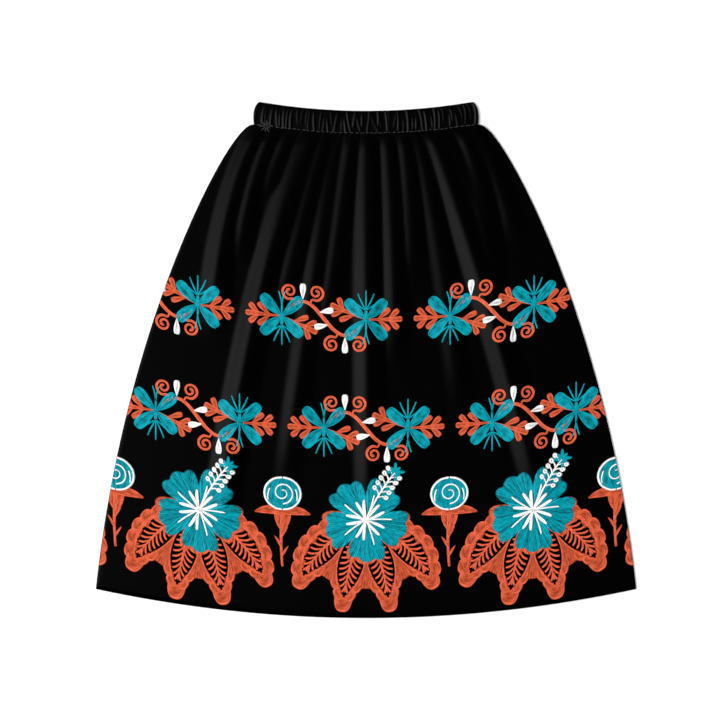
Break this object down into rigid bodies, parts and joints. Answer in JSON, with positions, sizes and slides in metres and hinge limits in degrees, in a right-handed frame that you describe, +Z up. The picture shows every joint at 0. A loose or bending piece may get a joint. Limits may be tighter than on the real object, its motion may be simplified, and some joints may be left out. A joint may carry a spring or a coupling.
{
  "type": "skirt",
  "caption": "Gathered midi skirt laid flat, with an elastic waistband, soft lengthwise folds and floral bands round the hem.",
  "frame": {"origin": "on the surface that the skirt lies on, under the middle of its outline", "axes": "+Y from the hem towards the waist, +X across the skirt, +Z up from the surface, with the front panel on top"},
  "size_m": [0.81, 0.7736, 0.0085],
  "materials": {
    "skirt_cloth": "matte",
    "band_cloth": "matte",
    "thread_teal": "satin",
    "thread_orange": "satin",
    "thread_white": "satin",
    "thread_seam": "satin"
  },
  "bodies": {
    "root": {"back_panel": "skirt_cloth", "front_panel": "skirt_cloth", "waistband": "band_cloth"}
  },
  "joints": []
}
